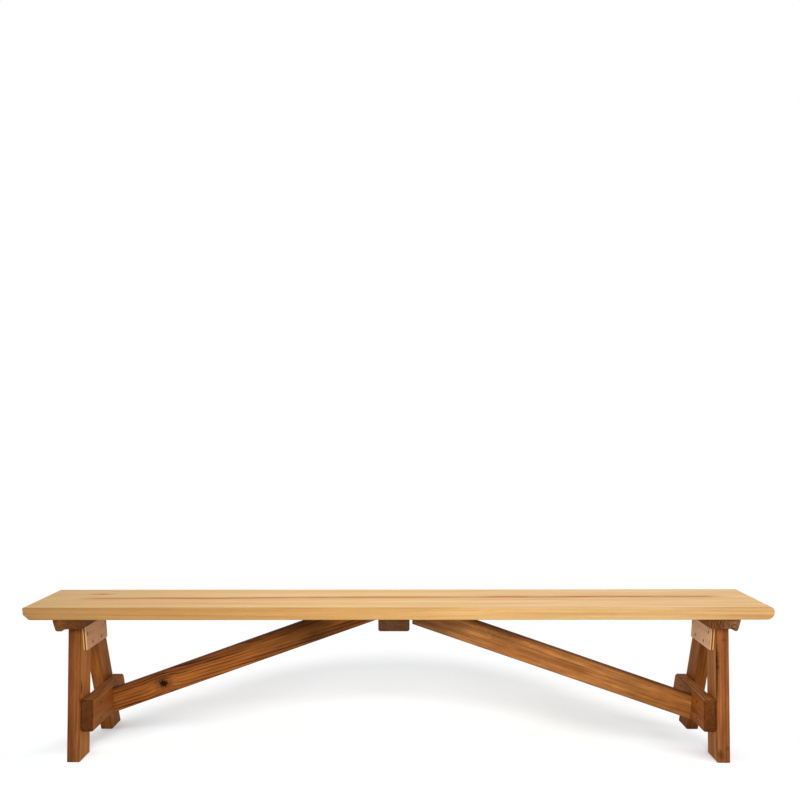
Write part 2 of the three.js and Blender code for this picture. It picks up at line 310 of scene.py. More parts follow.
def rounded_outline(corners: Sequence[Corner], stride: float) -> tuple[np.ndarray, ...]:
    """Polygon with an arc at each corner, and the outward normal at each of its points.

    An arc of radius r touches the two sides at r / tan(half the corner's angle) from the corner,
    and its centre lies on the bisector.

    Args:
        corners: (across, up, radius) of each corner in order.
        stride: Distance between points on the straights.

    Returns:
        Points, normals, and the share of the way round at each point.
    """
    table = np.array(corners, float)
    spots, radii = table[:, :2], table[:, 2:]
    back, ahead = (
        way / np.linalg.norm(way, axis=1, keepdims=True)
        for way in (np.roll(spots, 1, 0) - spots, np.roll(spots, -1, 0) - spots)
    )
    half = np.arccos(np.clip((back * ahead).sum(1, keepdims=True), -1, 1)) / 2
    bisector = (back + ahead) / np.linalg.norm(back + ahead, axis=1, keepdims=True)
    centres = spots + bisector * (radii / np.sin(half))
    first, last = (spots + way * (radii / np.tan(half)) - centres for way in (back, ahead))
    start = np.arctan2(first[:, 1], first[:, 0])
    turn = (np.arctan2(last[:, 1], last[:, 0]) - start + np.pi) % (2 * np.pi) - np.pi
    angle = start[:, None] + turn[:, None] * np.linspace(0, 1, ARC_STEPS + 1)
    normals = np.stack([np.cos(angle), np.sin(angle)], -1)
    points = (centres[:, None] + normals * radii[:, None]).reshape(-1, 2)

    loop = np.hstack([points, normals.reshape(-1, 2)])
    loop = np.vstack([loop, loop[:1]])
    walked = np.concatenate([[0], np.cumsum(np.linalg.norm(np.diff(loop[:, :2], axis=0), axis=1))])
    regular = np.arange(0, walked[-1], stride)
    clear = np.abs(regular[:, None] - walked).min(1) > stride / 4
    marks = np.sort(np.concatenate([walked[:-1], regular[clear]]))
    spread = np.stack([np.interp(marks, walked, column) for column in loop.T], 1)
    return spread[:, :2], spread[:, 2:], marks / walked[-1]


def waves(share: np.ndarray, seed: int) -> np.ndarray:
    """Smooth wobble between -1 and 1 that meets itself at the end of a closed path.

    Sum of seven cosines of whole numbers of turns, each with its own start, brought to a size of 1.

    Args:
        share: Share of the way round, 0 to 1.
        seed: Number that fixes the starts.

    Returns:
        The wobble at each place.
    """
    random = np.random.default_rng(seed)
    order = np.arange(1, 8)
    turns = 3 * order + random.integers(0, 3, order.size)
    start = random.uniform(0, 2 * np.pi, order.size)
    size = random.uniform(0.5, 1, order.size) / np.sqrt(order)
    total = (size * np.cos(2 * np.pi * share[:, None] * turns + start)).sum(1)
    return total / np.abs(total).max()


def eased_board(
    corners: Sequence[Corner],
    thickness: float,
    ease: float,
    seed: int,
    stride: float = 12,
    wear: float = 0.16,
) -> Shell:
    """Board sawn to an outline, every arris eased to a quarter round that wear has made uneven.

    A function of two parameters: u goes round the outline, and v across the edge from one flat
    face to the other. At an angle f along an arris of ease e(u) the point stands e(1 - sin f)
    inside the outline and e(1 - cos f) from the flat face, and e(u) = e(1 + wear * waves(u)).

    Args:
        corners: (across, up, round) of each corner, the round inside the ease.
        thickness: From flat face to flat face.
        ease: Radius of the arrises.
        seed: Number that fixes the wear.
        stride: Distance between points along the straights.
        wear: Share by which the arris varies.

    Returns:
        The board, its outline in X and Z, centred on Y.
    """
    rounded = [(across, up, max(turn, 0.15 * ease) + (1 + wear) * ease) for across, up, turn in corners]
    points, normals, share = rounded_outline(rounded, stride)
    near, far = (ease * (1 + wear * waves(share, seed + side)) for side in range(2))
    angle = np.linspace(0, np.pi / 2, ARRIS_POINTS)[:, None]
    inset = np.vstack([near * (1 - np.sin(angle)), (far * (1 - np.sin(angle)))[::-1]])
    depth = np.vstack([near * (1 - np.cos(angle)), thickness - (far * (1 - np.cos(angle)))[::-1]])
    flat = points - normals * inset[..., None]
    grid = np.stack([flat[..., 0], depth - thickness / 2, flat[..., 1]], -1)
    rings, around = depth.shape
    caps = [list(range(around))[::-1], list(range((rings - 1) * around, rings * around))]
    return outward(grid.reshape(-1, 3) * MM, tube_faces(rings, around) + caps)


def block(low: Triple, high: Triple) -> Shell:
    """Box between two corners.

    Args:
        low: Lowest corner in millimetres.
        high: Highest corner in millimetres.

    Returns:
        The shell.
    """
    flat = [(low[0], low[1]), (high[0], low[1]), (high[0], high[1]), (low[0], high[1])]
    points = np.array([(*spot, up) for up in (low[2], high[2]) for spot in flat], float)
    return outward(points * MM, [[3, 2, 1, 0], [4, 5, 6, 7], *tube_faces(2, 4)])


def turned_shell(radius: np.ndarray, height: np.ndarray) -> Shell:
    """Closed surface round the Z axis.

    A function of two parameters: row i of the grids is a ring, and column j its angle 2 pi j / n.
    A pole closes each end, at the mean height of the ring beside it.

    Args:
        radius: Radius at each ring and angle.
        height: Height at each ring and angle.

    Returns:
        The shell.
    """
    rings, around = radius.shape
    angle = np.linspace(0, 2 * np.pi, around, endpoint=False)
    grid = np.stack([radius * np.cos(angle), radius * np.sin(angle), height], -1).reshape(-1, 3)
    poles = [[0, 0, height[0].mean()], [0, 0, height[-1].mean()]]
    step = np.arange(around)
    after, pole, base = np.roll(step, -1), np.full(around, rings * around), (rings - 1) * around
    start = np.stack([after, step, pole], 1)
    end = np.stack([base + step, base + after, pole + 1], 1)
    faces = tube_faces(rings, around) + start.tolist() + end.tolist()
    return outward(np.vstack([grid, poles]) * MM, faces)


# Pieces


class Slot(Enum):
    """Names of the material slots."""

    PINE = "pine"
    STAINED = "stained"
    DARK = "dark"
    PLYWOOD = "plywood"
    STEEL = "steel"


def put(name: str, data: bpy.types.ID, **settings: Any) -> bpy.types.Object:
    """Puts an object into the scene.

    Args:
        name: Its name.
        data: What it shows.
        settings: Settings of the data.

    Returns:
        The object.
    """
    for setting, value in settings.items():
        setattr(data, setting, value)
    made = bpy.data.objects.new(name, data)
    bpy.context.scene.collection.objects.link(made)
    return made


def put_mesh(name: str, points: np.ndarray, faces: list[list[int]]) -> bpy.types.Object:
    """Puts an object with a mesh into the scene.

    Args:
        name: Name of both.
        points: Points in metres.
        faces: Rows of point numbers.

    Returns:
        The object.
    """
    mesh = bpy.data.meshes.new(name)
    mesh.from_pydata(points.tolist(), [], faces)
    return put(name, mesh)


def cut(piece: bpy.types.Object, cutter: Shell) -> None:
    """Takes a closed shell out of a piece.

    Args:
        piece: The piece.
        cutter: The shell.
    """
    tool = put_mesh("cutter", cutter.points, cutter.faces)
    bore = piece.modifiers.new("bore", "BOOLEAN")
    bore.object = tool
    bore.operation = "DIFFERENCE"
    bore.solver = "EXACT"
    graph = bpy.context.evaluated_depsgraph_get()
    holed = bpy.data.meshes.new_from_object(piece.evaluated_get(graph))
    piece.modifiers.clear()
    spent = (piece.data, tool.data)
    piece.data = holed
    bpy.data.objects.remove(tool)
    for mesh in spent:
        bpy.data.meshes.remove(mesh)


def fit(
    node: str,
    shell: Shell,
    finish: Finish,
    bores: Sequence[Shell] = (),
    sharp: float = 32.0,
    name: str = "",
) -> None:
    """Puts a finer piece in the place of a node, smooth over gentle bends and flat elsewhere.

    Args:
        node: The node.
        shell: The piece's mesh.
        finish: Its finish.
        bores: Closed shells that are taken out of it.
        sharp: Angle in degrees past which an edge stays sharp.
        name: Its name, where that isn't the node's with _fine behind it.
    """
    piece = put_mesh(name or f"{node}_fine", shell.points, shell.faces)
    piece.data.shade_smooth()
    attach(piece, BODY)
    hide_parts(node)
    for bore in bores:
        cut(piece, bore)
    piece.data.set_sharp_from_angle(angle=math.radians(sharp))
    weighted = piece.modifiers.new("flat_faces", "WEIGHTED_NORMAL")
    weighted.keep_sharp = True
    weighted.weight = 90
    piece.data.materials.append(finish.owner)
    LOG.info("%s: %d faces", node, len(piece.data.polygons))


# Finishes


@dataclass(frozen=True)
class Lay:
    """How the grain lies in a piece: the middle and turn of the log's frame, X along the grain."""

    centre: Triple
    turn: Triple = (0.0, 0.0, 0.0)

    @classmethod
    def along(cls, centre: Triple, grain: Triple) -> "Lay":
        """Lay of a timber on edge: the log's Z is the level axis square to the grain.

        Args:
            centre: Middle of the piece in millimetres.
            grain: The grain's direction.

        Returns:
            The lay.
        """
        ahead = Vector(grain).normalized()
        side = Vector((1, 0, 0)) if abs(ahead.x) < 0.5 else Vector((0, 1, 0))
        across = side.cross(ahead).normalized()
        turn = Matrix((ahead, across, ahead.cross(across))).transposed().to_euler()
        return cls(tuple(part * MM for part in centre), tuple(turn))

    def place(self, finish: Finish) -> Signal:
        """Coordinates in the log's frame.

        Args:
            finish: The material.

        Returns:
            The coordinates in metres.
        """
        coords = finish.add("TexCoord", out="Object")
        sockets = {"Vector": coords, "Location": self.centre, "Rotation": self.turn}
        return finish.add("Mapping", {"vector_type": "TEXTURE"}, sockets)

    def inside(self, spot: Triple) -> Triple:
        """A place of the scene, in millimetres, in the log's frame in metres."""
        return tuple(Euler(self.turn).to_matrix().transposed() @ (Vector(spot) * MM - Vector(self.centre)))

    def end_grain(self, finish: Finish, cosines: Span) -> Signal:
        """Share of end grain, 1 on faces that cut across the grain.

        Args:
            finish: The material.
            cosines: Cosines between a face's normal and the grain where the share is 0 and 1.

        Returns:
            The share.
        """
        grain = Euler(self.turn).to_matrix() @ Vector((1, 0, 0))
        normal = finish.add("TexCoord", out="Normal")
        return abs(normal.vector("DOT_PRODUCT", tuple(grain), out="Value")).rise(*cosines)


@dataclass(frozen=True)
class Knot:
    """A knot: its place along and across the grain and its radius, in metres."""

    along: float
    across: float
    radius: float


@dataclass(frozen=True)
class StainAndShade:
    """A dark patch, mostly a real smudge but painted shade on the right brace: its place, and its reach
    along, across and through the grain, in millimetres.
    """

    spot: Triple
    reach: Triple
    darkness: float

    def mark(self, place: Signal, lay: Lay) -> Signal:
        """Strength of the dark patch, with a ragged border.

        Args:
            place: Place in the log's frame.
            lay: How the grain lies.

        Returns:
            The strength.
        """
        scale = tuple(1 / (part * MM) for part in self.reach)
        start = tuple(-part * factor for part, factor in zip(lay.inside(self.spot), scale))
        away = place.vector("MULTIPLY_ADD", scale, start).vector("LENGTH", out="Value")
        ragged = place.noise((120.0, 500.0, 500.0), self.spot[2] * 0.1) - 0.5
        return (away + ragged * 1.2).rise(1.0, 0.15) * self.darkness


@dataclass(frozen=True)
class Tone:
    """A change of tone over a timber: a step along one axis of the log's frame.

    Axis 0 runs along the grain, 1 across the wide face and 2 through it. Past the end of the
    step the tint multiplies the colour.
    """

    axis: int
    start: float
    end: float
    tint: Triple

    def mark(self, place: Signal) -> Signal:
        """Strength of the tone at a place in the log's frame, with a border that wanders."""
        wander = place.noise((8.0, 60.0, 60.0), 5.0 + self.axis) - 0.5
        return (place.parts()[self.axis] + wander * abs(self.end - self.start)).rise(self.start, self.end)


@dataclass(frozen=True)
class Wood:
    """Solid timber whose year rings run through every face.

    The ring number at a place is its distance from the pith, made uneven by slow noise and pushed
    aside by knots, over the spacing of the rings. Colour deepens through each ring to its
    latewood and falls back sharply. Broad bands of a second tint lie along the grain, and fine
    fibres and clouds of stain lie over all.
    """

    early: Screen
    late: Screen
    warm: Screen
    spacing: float = 0.0095
    pith: Span = (0.02, -0.09)
    tilt: float = 0.02
    wander: float = 0.014
    ripple: float = 0.0022
    onset: float = 0.35
    contrast: float = 0.5
    bands: float = 0.8
    band_waves: float = 24.0
    fibre: float = 1.1
    blotch: float = 0.9
    end_tint: Triple = (0.45, 0.4, 0.42)
    end_calm: float = 0.0
    end_facing: Span = (0.55, 0.9)
    edge_from: float = 0.0415
    edge_tint: Triple = (1.0, 1.0, 1.0)
    arris: Span = (0.044, 0.018)
    arris_shade: float = 0.3
    arris_border: float = 0.004
    gloss: float = 0.58
    shine: float = 0.055
    depth: float = 0.0004
    seed: float = 1.0
    knots: tuple[Knot, ...] = ()
    stains_and_shade: tuple[StainAndShade, ...] = ()
    tones: tuple[Tone, ...] = ()

    def rings(self, place: Signal) -> tuple[Signal, Signal]:
        """Latewood and knots.

        Args:
            place: Place in the log's frame.

        Returns:
            Strength of the latewood, and of the knots.
        """
        along, across, through = place.parts()
        slow = place.noise((1.7, 9.0, 9.0), self.seed, 1.0) - 0.5
        fine = place.noise((9.0, 70.0, 70.0), self.seed + 4, 1.0) - 0.5
        side = across - self.pith[0] - along * self.tilt
        below = through - self.pith[1]
        reach = (side * side + below * below) ** 0.5 + slow * self.wander + fine * self.ripple
        ragged = place.noise((150.0, 150.0, 150.0), self.seed + 7) - 0.5
        hard = halo = along * 0.0
        for knot in self.knots:
            forward = (along - knot.along) * 0.8
            sideways = across - knot.across
            away = (forward * forward + sideways * sideways) ** 0.5
            reach = reach + away.rise(knot.radius * 5, 0.0) * knot.radius * 0.8
            edge = away + ragged * (knot.radius * 1.6)
            hard = hard.highest(edge.rise(knot.radius, knot.radius * 0.6))
            halo = halo.highest(edge.rise(knot.radius * 2.6, knot.radius * 0.9) * 0.6)
        uneven = place.noise((0.6, 60.0, 60.0), self.seed + 9, 1.0)
        year = (reach / self.spacing + uneven * 2.0).fraction()
        strong = place.noise((3.5, 40.0, 40.0), self.seed + 12).rise(0.34, 0.62)
        late = year.rise(self.onset, 0.88) * year.rise(1.0, 0.93) * (strong * 0.75 + 0.25)
        return late.highest(halo), hard

    def dress(
        self, name: str, lay: Lay, marks: Callable[[Signal, Signal, Lay], Signal] | None = None
    ) -> Finish:
        """Makes the material.

        Args:
            name: Its name.
            lay: How the grain lies.
            marks: What else changes the colour: takes the place, the colour and the lay.

        Returns:
            The finish.
        """
        finish = Finish(bpy.data.materials.new(name))
        place = lay.place(finish)
        late, hard = self.rings(place)
        ends = lay.end_grain(finish, self.end_facing)
        streaks = place.noise((5.0, 170.0, 170.0), self.seed + 2, 3.0, 0.6)
        pores = place.noise((60.0, 1500.0, 1500.0), self.seed + 3)
        patches = place.noise((14.0, 70.0, 70.0), self.seed + 6, 3.0, 0.6)
        wide = place.noise((0.9, self.band_waves, self.band_waves), self.seed + 8, 1.0)
        colour = (wide.rise(0.36, 0.62) * self.bands).mix(linear(self.early), linear(self.warm))
        colour = (late * self.contrast * (1 - ends * self.end_calm)).mix(colour, linear(self.late))
        level = (1 + (streaks - 0.5) * self.fibre) * (1 + (patches - 0.5) * self.blotch)
        level = level * (1 + (pores - 0.5) * 0.2)
        across, through = (abs(part) for part in place.parts()[1:])
        # Darker along the arrises: partly stain soaked into them, partly painted shade of their rounding.
        arris = across.rise(self.arris[0] - self.arris_border, self.arris[0])
        arris = arris * through.rise(self.arris[1] - self.arris_border, self.arris[1])
        colour = colour.shade(level * (1 - arris * self.arris_shade))
        colour = across.rise(self.edge_from, self.edge_from + 0.002).mix(colour, self.edge_tint, "MULTIPLY")
        colour = ends.mix(colour, self.end_tint, "MULTIPLY")
        for tone in self.tones:
            colour = tone.mark(place).mix(colour, tone.tint, "MULTIPLY")
        if marks:
            colour = marks(place, colour, lay)
        dark = tuple(0.1 * part for part in linear(self.late))
        for stain in self.stains_and_shade:
            colour = stain.mark(place, lay).mix(colour, dark)
        colour = (hard * 0.94).mix(colour, dark)
        roughness = self.gloss + (streaks - 0.5) * 0.16 - late * 0.07 + ends * 0.15
        relief = late * 0.4 + streaks * 0.4 + pores * 0.25
        finish.surface(colour, roughness, relief, self.depth, Specular_IOR_Level=self.shine)
        return finish


@dataclass(frozen=True)
class SeatGrain:
    """What the seat's plank shows over its rings: a dark streak, and tones that change along it.

    The streak is a line of latewood whose place across the plank, and whose strength, go through
    the points of two tables. The first column of a table is X in millimetres. Towards the left end
    the tones darken the plank, partly its own tone and partly painted shade.
    """

    half: float = 1050
    streak: Screen = (188, 96, 18)
    path: Table = (
        (-930, -7), (-700, 0), (-565, -4), (-346, 6), (-125, 13), (141, 11.5), (318, 18), (450, 15),
        (584, 21.5), (760, 19), (940, 23),
    )
    strength: Table = (
        (-950, 0), (-880, 0.85), (-800, 0.8), (-700, 1), (-434, 0.95), (-200, 1), (67, 0.9),
        (160, 0.75), (274, 0.95), (775, 1), (910, 0.9), (990, 0),
    )
    width: float = 0.014
    # Tone of the top and of the front face along the plank, darker towards the left end: partly the plank's
    # own tone, partly painted shade of light that falls off to the left.
    top_tone_and_shade: Table = (
        (-1050, 0.72), (-868, 0.81), (-728, 0.85), (-560, 0.89), (-392, 0.95), (-196, 1), (728, 0.99),
        (1050, 0.95),
    )
    edge_tone_and_shade: Table = (
        (-1050, 0.52), (-868, 0.58), (-728, 0.67), (-560, 0.72), (-392, 0.78), (-196, 0.85), (0, 0.89),
        (196, 0.96), (560, 0.96), (868, 0.89), (1050, 0.85),
    )
    edge: Span = (0.146, 0.149)
    edge_tint: Triple = (1.0, 0.77, 0.62)
    smudge: StainAndShade = StainAndShade((-893, 68, 440), (58, 16, 30), 0.85)
    smudge_colour: Screen = (168, 96, 58)

    def follow(self, along: Signal, table: Table, low: float = 0.0, high: float = 1.0) -> Signal:
        """Value of a table along the plank, eased between its points.

        Args:
            along: X in metres.
            table: Pairs of X in millimetres and value.
            low: The lowest value that the table may hold.
            high: The highest.

        Returns:
            The value.
        """
        span = 2 * self.half
        stops = [((x + self.half) / span, ((value - low) / (high - low),) * 3) for x, value in table]
        ramp = along.finish.add("ValToRGB", {"stops": stops}, {"Fac": along / (span * MM) + 0.5})
        return along.finish.add("SeparateColor", sockets={"Color": ramp}) * (high - low) + low

    def mark(self, place: Signal, colour: Signal, lay: Lay) -> Signal:
        """Draws the tones with their painted shade, the streak and the smudge over a colour.

        Args:
            place: Place in the log's frame.
            colour: The colour under them.
            lay: How the grain lies.

        Returns:
            The new colour.
        """
        along, across, through = place.parts()
        ripple = (place.noise((22.0, 0.0, 0.0), 3.3) - 0.5) * 0.005
        away = abs(across - (self.follow(along, self.path, -30, 30) * MM + ripple))
        broken = place.noise((7.0, 0.0, 0.0), 8.1).rise(0.3, 0.55) * 0.3 + 0.7
        fibres = place.noise((3.0, 260.0, 0.0), 6.4).rise(0.3, 0.6) * 0.3 + 0.7
        line = away.rise(self.width, self.width * 0.45) * broken * fibres
        halo = away.rise(self.width * 2.2, 0.0) * fibres * 0.55
        top = through.rise(0.0, 0.012)
        edge = abs(across).rise(*self.edge)
        # Darker towards the left end: partly the plank's own tone, partly painted shade. The front face's
        # tint grows there too.
        tones = self.follow(along, self.top_tone_and_shade) * (1 - edge)
        tones = tones + self.follow(along, self.edge_tone_and_shade) * edge
        colour = ((1 - tones) * edge).mix(colour, self.edge_tint, "MULTIPLY").shade(tones)
        streak = line.highest(halo) * self.follow(along, self.strength) * top
        colour = streak.mix(colour, linear(self.streak))
        return self.smudge.mark(place, lay).mix(colour, linear(self.smudge_colour))


@dataclass(frozen=True)
class Plywood:
    """Sanded plywood: rotary veneer on its faces, and its layers along its edges."""

    face: Screen = (202, 154, 115)
    streak: Screen = (178, 126, 90)
    cream: Screen = (232, 190, 124)
    orange: Screen = (184, 98, 40)
    core: Screen = (96, 66, 46)
    rust: Screen = (70, 44, 28)
    rust_reach: Span = (0.0068, 0.0032)
    gloss: float = 0.62
    shine: float = 0.08
    depth: float = 0.0004

    def dress(self, node: str, heads: Sequence[Vector], seed: float) -> Finish:
        """Makes the material.

        Args:
            node: The plate's node.
            heads: Places of the nail heads, with rust round each.
            seed: Shift of the pattern.

        Returns:
            The finish.
        """
        finish = Finish(bpy.data.materials.new(f"{node}_plywood"))
        low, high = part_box(node)
        place = Lay(tuple((low + high) / 2), (0.0, 0.0, math.pi / 2)).place(finish)
        swirl = place.noise((9.0, 14.0, 40.0), seed, 3.0, 0.6)
        fibres = place.noise((14.0, 420.0, 420.0), seed + 2, 3.0, 0.65)
        flecks = place.noise((60.0, 900.0, 900.0), seed + 5, 1.0)
        face = (swirl.rise(0.42, 0.66) * 0.55).mix(linear(self.face), linear(self.streak))
        share = place.parts()[1] / (high.x - low.x) + 0.5 + (flecks - 0.5) * 0.03
        cream, orange, core = linear(self.cream), linear(self.orange), linear(self.core)
        stops = [
            (0.0, orange), (0.12, cream), (0.27, cream), (0.35, orange), (0.41, core), (0.59, core),
            (0.65, orange), (0.73, cream), (0.88, cream), (0.96, orange),
        ]
        plies = finish.add("ValToRGB", {"stops": stops}, {"Fac": share})
        facing = abs(finish.add("TexCoord", out="Normal").parts()[0]).rise(0.45, 0.75)
        colour = facing.mix(plies.shade(0.8 + fibres * 0.4), face.shade(0.86 + fibres * 0.28))
        coords = finish.add("TexCoord", out="Object")
        for head in heads:
            away = coords.vector("DISTANCE", tuple(head), out="Value") + (swirl - 0.5) * 0.003
            colour = (away.rise(*self.rust_reach) * 0.75).mix(colour, linear(self.rust))
        roughness, relief = self.gloss + (fibres - 0.5) * 0.2, fibres * 0.6 + flecks * 0.3
        finish.surface(colour, roughness, relief, self.depth, Specular_IOR_Level=self.shine)
        return finish


@dataclass(frozen=True)
class Steel:
    """Steel that has darkened and begun to rust."""

    name: str
    bright: Screen
    rust: Screen
    rusted: float
    gloss: float
    metal: float = 0.7
    depth: float = 0.0002

    def dress(self) -> Finish:
        """Makes the material.

        Returns:
            The finish.
        """
        finish = Finish(bpy.data.materials.new(self.name))
        place = finish.add("TexCoord", out="Object")
        spots = place.noise((420.0, 420.0, 420.0), 2.0, 4.0, 0.6)
        grime = place.noise((1400.0, 1400.0, 1400.0), 7.0)
        rust = spots.rise(0.62 - self.rusted, 0.78 - self.rusted)
        colour = rust.mix(linear(self.bright), linear(self.rust)).shade(0.75 + grime * 0.5)
        roughness = self.gloss + rust * 0.35 + (grime - 0.5) * 0.1
        finish.surface(colour, roughness, spots * 0.6 + grime * 0.4, self.depth, Metallic=self.metal)
        return finish


# Nails and screws


class Facing(Enum):
    """The way a head faces: its outward and upward parts, outward being away from the middle."""

    INWARD = (-1, 0)
    OUTWARD = (1, 0)
    DOWN = (0, -1)
    UP = (0, 1)


NAIL_STEEL = Steel("nail_steel", (92, 78, 68), (62, 40, 28), 0.12, 0.45)
STAINED_STEEL = Steel("stained_steel", (52, 32, 18), (44, 26, 14), 0.12, 0.7)
SCREW_STEEL = Steel("screw_steel", (150, 142, 128), (112, 82, 58), -0.02, 0.32)


@dataclass(frozen=True)
class Pin:
    """Sizes that a nail and a screw share, in millimetres, with the head's face at zero."""

    facing: Facing
    length: float
    shank: float
    head: float
    head_depth: float
    countersink: float = 0.0
    point: float = 5.0
    steel: Steel = SCREW_STEEL
    slack: float = 0.3
    reach: float = 12.0

    def way(self, node: str) -> Vector:
        """Direction in which the head of a node faces."""
        outward_part, up = self.facing.value
        return Vector((-outward_part if "_left" in node else outward_part, 0, up))

    def head_place(self, node: str) -> Vector:
        """Middle of the face of a node's head, in metres."""
        low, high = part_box(node)
        return (low + high) / 2 + self.way(node) * abs((high - low).dot(self.way(node))) / 2

    def placed(self, shell: Shell, node: str) -> Shell:
        """A shell made along Z, turned and moved to where a node is."""
        turn = Vector((0, 0, 1)).rotation_difference(self.way(node)).to_matrix()
        return shell.moved(np.array(turn), tuple(self.head_place(node)))

    def bore(self) -> Shell:
        """The bore that the pin lies in, along Z and open past its head.

        Returns:
            The bore, with slack round the pin.
        """
        top = -self.head_depth - self.slack
        rows = [(self.shank, -self.length - self.slack), (self.shank, top - self.countersink)]
        rows += [(self.head, top), (self.head, self.reach)]
        radius, height = np.array(rows).T
        return turned_shell((radius + self.slack)[:, None] * np.ones(32), height[:, None] * np.ones(32))


@dataclass(frozen=True)
class Nail(Pin):
    """Round wire nail with a flat head that the hammer has marked."""

    dome: float = 0.5
    lean: float = 0.12
    dent: float = 0.05
    grip: float = 0.07
    grip_pitch: float = 1.6
    grip_end: float = 14

    def shape(self, seed: int) -> Shell:
        """The nail along Z.

        The head is a low dome, dome * (1 - (r / R) squared), tilted and dented a little. Under it
        the shank has grip rings, a cosine of the height, and ends in a four-sided point: at a
        share t of its length the radius is less by 0.3 t (1 - |cos 2a|) at the angle a.

        Args:
            seed: Number that fixes the hammer marks.

        Returns:
            The shell.
        """
        angle = np.linspace(0, 2 * np.pi, 32, endpoint=False)
        ones = np.ones_like(angle)
        tilt = np.random.default_rng(seed).uniform(-self.lean, self.lean, 2)
        share = np.array([0.15, 0.35, 0.55, 0.75, 0.9, 0.97, 1.0])[:, None]
        lean = tilt[0] * np.cos(angle) + tilt[1] * np.sin(angle)
        top = self.dome * (1 - share**2) + lean * share + self.dent * np.cos(3 * angle + seed) * share
        rim = [(self.head, -0.6), (self.head * 0.97, -0.9), (self.shank * 1.2, -self.head_depth)]
        under = np.array(rim)
        gripped = np.linspace(-self.head_depth - 0.4, -self.grip_end, 36)
        level = np.concatenate([gripped, np.linspace(-self.grip_end - 1, self.point - self.length, 6)])
        rings = self.grip * np.cos(2 * np.pi * level / self.grip_pitch) * (level > 1 - self.grip_end)
        tip = np.linspace(0.12, 1, 6)
        radius = np.concatenate([under[:, 0], self.shank - self.grip + rings, self.shank * (1 - tip) + 0.02])
        height = np.concatenate([under[:, 1], level, self.point * (1 - tip) - self.length])
        pointed = np.concatenate([np.zeros(len(under) + len(level)), tip * 0.3])
        square = 1 - pointed[:, None] * (1 - np.abs(np.cos(2 * angle)))
        radius = np.vstack([self.head * share * ones, radius[:, None] * square])
        return turned_shell(radius, np.vstack([top, height[:, None] * ones]))


@dataclass(frozen=True)
class Screw(Pin):
    """Countersunk wood screw with a cross recess and a rolled thread."""

    shank: float = 2.5
    head: float = 4.8
    head_depth: float = 0.8
    countersink: float = 2.4
    point: float = 6.0
    pitch: float = 2.6
    recess: float = 1.9

    def shape(self, seed: int) -> Shell:
        """The screw along Z.

        On the head's face the depth is the recess times a smooth step of the shorter of |x| and
        |y|, so that a cross sinks in. On the thread the radius at height h and angle a is the
        core's and a share of the rest, ((1 + cos(2 pi h / pitch - a)) / 2) to the fourth power.

        Args:
            seed: Number that fixes how far round the screw is driven.

        Returns:
            The shell.
        """
        angle = np.linspace(0, 2 * np.pi, 48, endpoint=False)
        ones = np.ones_like(angle)
        aim = np.random.default_rng(seed).uniform(0, np.pi)
        share = np.array([0.06, 0.13, 0.2, 0.28, 0.36, 0.44, 0.5, 0.56, 0.62, 0.72, 0.86, 0.96, 1.0])
        share = share[:, None]
        face = self.head * share * ones
        x, y = (np.abs(face * part(angle - aim)) for part in (np.cos, np.sin))
        narrow = np.clip((0.95 - np.minimum(x, y)) / 0.35, 0, 1)
        short = np.clip((0.6 - share) / 0.2, 0, 1)
        top = -self.recess * narrow * narrow * (3 - 2 * narrow) * short - 0.15 * (share > 0.97)

        smooth = 0.35 * self.length
        start = -self.head_depth - self.countersink
        collar = np.array([
            [self.head, -0.4], [self.head, -self.head_depth], [self.shank * 0.9, start],
            [self.shank * 0.74, start - 0.6], [self.shank * 0.74, 0.6 - smooth],
        ])
        level = np.arange(-smooth, self.point - self.length, -self.pitch / 7)
        core = self.shank * 0.68
        phase = 2 * np.pi * level[:, None] / self.pitch - angle
        depth = np.clip((-smooth - level) / self.pitch, 0, 1)[:, None]
        thread = core + (self.shank - core) * depth * np.cos(phase / 2) ** 8
        tip = np.linspace(0.15, 1, 7)
        radius = [face, collar[:, :1] * ones, thread, (core * (1 - tip) + 0.03)[:, None] * ones]
        height = np.concatenate([collar[:, 1], level, self.point * (1 - tip) - self.length])
        return turned_shell(np.vstack(radius), np.vstack([top, height[:, None] * ones]))


@dataclass(frozen=True)
class Fasteners:
    """Every nail and screw of the bench, by the start of its node's name, and their bores."""

    kinds: tuple[tuple[str, Nail | Screw], ...] = (
        ("gusset_nail", Nail(Facing.INWARD, 40, 1.5, 3.2, 1.2, point=4, steel=NAIL_STEEL)),
        ("rail_nail", Nail(Facing.INWARD, 62, 1.7, 3.6, 1.4, steel=STAINED_STEEL)),
        ("cleat_screw", Screw(Facing.DOWN, 58)),
        ("batten_screw", Screw(Facing.DOWN, 58)),
        ("leg_screw", Screw(Facing.UP, 75)),
        ("brace_foot_screw", Screw(Facing.OUTWARD, 90)),
        ("brace_nose_screw", Screw(Facing.DOWN, 56)),
    )

    def pins(self, *starts: str) -> dict[str, Nail | Screw]:
        """Kinds of some pins.

        Args:
            starts: Words that their nodes may start with. With none, all pins are meant.

        Returns:
            The kinds, by node.
        """
        return {
            node: pin
            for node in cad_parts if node.startswith(starts or "")
            for word, pin in self.kinds if node.startswith(word)
        }

    def heads(self, start: str) -> list[Vector]:
        """Places of the heads of the pins whose nodes start with a word."""
        return [pin.head_place(node) for node, pin in self.pins(start).items()]

    def bores(self, *starts: str) -> list[Shell]:
        """Bores, in place, of the pins whose nodes start with any of some words."""
        return [pin.placed(pin.bore(), node) for node, pin in self.pins(*starts).items()]

    def build(self) -> None:
        """Puts a finer nail or screw in the place of every pin."""
        finishes = {steel: steel.dress() for steel in (SCREW_STEEL, NAIL_STEEL, STAINED_STEEL)}
        for number, (node, pin) in enumerate(self.pins().items()):
            shell = pin.placed(pin.shape(number), node)
            fit(node, shell, finishes[pin.steel], sharp=50.0)


# Timbers


